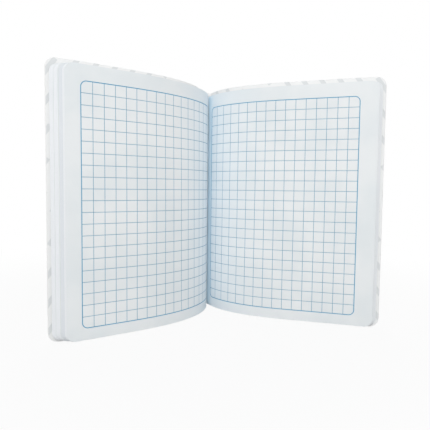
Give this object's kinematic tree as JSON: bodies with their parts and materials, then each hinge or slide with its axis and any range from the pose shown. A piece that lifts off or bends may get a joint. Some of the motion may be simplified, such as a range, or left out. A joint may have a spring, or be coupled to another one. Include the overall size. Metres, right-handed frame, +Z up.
{
  "type": "exercise book",
  "caption": "Open exercise book with sewn sections, rounded corners and a soft card cover; each half, both covers and the top leaf bend and turn.",
  "frame": {"origin": "on the floor, in the middle of the thickness of the cover's spine card, which the book stands on", "axes": "+Z up along the spine, -Y towards the reader of the open pages, +X towards the back cover"},
  "size_m": [0.2743, 0.1099, 0.2157],
  "materials": {
    "cover_card": "white card, coated outside, smooth and slightly glossy",
    "page_paper": "white uncoated paper with printed blue squares",
    "lining_gauze": "open cotton gauze set in glue",
    "sewing_thread": "twisted white thread"
  },
  "bodies": {
    "spine": {"cover_spine": "cover_card", "spine_lining": "lining_gauze", "sewing_thread": "sewing_thread", "gutter_stitch_1": "sewing_thread", "gutter_stitch_2": "sewing_thread", "gutter_stitch_3": "sewing_thread", "gutter_stitch_4": "sewing_thread", "section_1_back": "page_paper", "section_2_back": "page_paper", "section_3_back": "page_paper", "section_4_back": "page_paper", "section_5_back": "page_paper"},
    "front_gutter": {"section_1_leaves_gutter": "page_paper", "section_2_leaves_gutter": "page_paper", "section_3_leaves_gutter": "page_paper", "section_4_front_leaves_gutter": "page_paper"},
    "back_gutter": {"section_4_back_leaves_gutter": "page_paper", "section_5_leaves_gutter": "page_paper"},
    "section_4_front_leaves": {"section_4_front_leaves": "page_paper"},
    "section_3_leaves": {"section_3_leaves": "page_paper"},
    "section_2_leaves": {"section_2_leaves": "page_paper"},
    "section_1_leaves": {"section_1_leaves": "page_paper"},
    "section_4_back_leaves": {"section_4_back_leaves": "page_paper"},
    "section_5_leaves": {"section_5_leaves": "page_paper"},
    "front_cover_gutter": {"front_cover_gutter": "cover_card"},
    "front_cover": {"front_cover": "cover_card"},
    "back_cover_gutter": {"back_cover_gutter": "cover_card"},
    "back_cover": {"back_cover": "cover_card"},
    "top_leaf_gutter": {"top_leaf_gutter": "page_paper"},
    "top_leaf": {"top_leaf": "page_paper"}
  },
  "joints": [
    {"name": "front_half", "type": "hinge", "parent": "spine", "child": "front_gutter", "pos_m": [-0.00084, -0.02109, 0.10785], "axis": [0, 0, -1], "range_deg": [-41, 10.6], "deforming": ["section_1_leaves_gutter", "section_2_leaves_gutter", "section_3_leaves_gutter", "section_4_front_leaves_gutter"]},
    {"name": "back_half", "type": "hinge", "parent": "spine", "child": "back_gutter", "pos_m": [0.00466, -0.01719, 0.10785], "axis": [0, 0, 1], "range_deg": [-39.3, 19.9], "deforming": ["section_4_back_leaves_gutter", "section_5_leaves_gutter"]},
    {"name": "section_4_front_leaves_bend", "type": "hinge", "parent": "front_gutter", "child": "section_4_front_leaves", "pos_m": [-0.03685, -0.06138, 0.10785], "axis": [0, 0, -1], "range_deg": [-30.8, 8.2]},
    {"name": "section_3_leaves_bend", "type": "hinge", "parent": "front_gutter", "child": "section_3_leaves", "pos_m": [-0.03847, -0.05915, 0.10785], "axis": [0, 0, -1], "range_deg": [-31, 8.2]},
    {"name": "section_2_leaves_bend", "type": "hinge", "parent": "front_gutter", "child": "section_2_leaves", "pos_m": [-0.04122, -0.05522, 0.10785], "axis": [0, 0, -1], "range_deg": [-31.2, 8.3]},
    {"name": "section_1_leaves_bend", "type": "hinge", "parent": "front_gutter", "child": "section_1_leaves", "pos_m": [-0.04395, -0.05133, 0.10785], "axis": [0, 0, -1], "range_deg": [-31.5, 8.4]},
    {"name": "section_4_back_leaves_bend", "type": "hinge", "parent": "back_gutter", "child": "section_4_back_leaves", "pos_m": [0.03548, -0.05375, 0.10785], "axis": [0, 0, 1], "range_deg": [-20.9, 10.7]},
    {"name": "section_5_leaves_bend", "type": "hinge", "parent": "back_gutter", "child": "section_5_leaves", "pos_m": [0.03748, -0.0518, 0.10785], "axis": [0, 0, 1], "range_deg": [-21.1, 10.8]},
    {"name": "front_cover_swing", "type": "hinge", "parent": "front_gutter", "child": "front_cover_gutter", "pos_m": [-0.01674, -0.03091, 0.10785], "axis": [0, 0, -1], "range_deg": [0, 75], "deforming": ["front_cover_gutter"]},
    {"name": "front_cover_bend", "type": "hinge", "parent": "front_cover_gutter", "child": "front_cover", "pos_m": [-0.0468, -0.04768, 0.10785], "axis": [0, 0, -1], "range_deg": [-32.2, 8.5]},
    {"name": "back_cover_swing", "type": "hinge", "parent": "back_gutter", "child": "back_cover_gutter", "pos_m": [0.01792, -0.03048, 0.10785], "axis": [0, 0, 1], "range_deg": [0, 75], "deforming": ["back_cover_gutter"]},
    {"name": "back_cover_bend", "type": "hinge", "parent": "back_cover_gutter", "child": "back_cover", "pos_m": [0.04142, -0.04839, 0.10785], "axis": [0, 0, 1], "range_deg": [-21.8, 11.2]},
    {"name": "leaf_turn", "type": "hinge", "parent": "back_gutter", "child": "top_leaf_gutter", "pos_m": [0.01375, -0.03126, 0.10785], "axis": [0, 0, -1], "range_deg": [0, 100], "deforming": ["top_leaf_gutter"]},
    {"name": "top_leaf_bend", "type": "hinge", "parent": "top_leaf_gutter", "child": "top_leaf", "pos_m": [0.03448, -0.05453, 0.10785], "axis": [0, 0, 1], "range_deg": [-20.7, 10.6], "deforming": ["top_leaf"]}
  ],
  "couplings": [
    {"joint": "section_4_front_leaves_bend", "follows": "front_half", "ratio": 0.7439},
    {"joint": "section_3_leaves_bend", "follows": "front_half", "ratio": 0.7491},
    {"joint": "section_2_leaves_bend", "follows": "front_half", "ratio": 0.7545},
    {"joint": "section_1_leaves_bend", "follows": "front_half", "ratio": 0.7602},
    {"joint": "section_4_back_leaves_bend", "follows": "back_half", "ratio": 0.5245},
    {"joint": "section_5_leaves_bend", "follows": "back_half", "ratio": 0.53},
    {"joint": "front_cover_bend", "follows": "front_half", "ratio": 0.7773},
    {"joint": "back_cover_bend", "follows": "back_half", "ratio": 0.5469},
    {"joint": "top_leaf_bend", "follows": "back_half", "ratio": 0.5191}
  ]
}
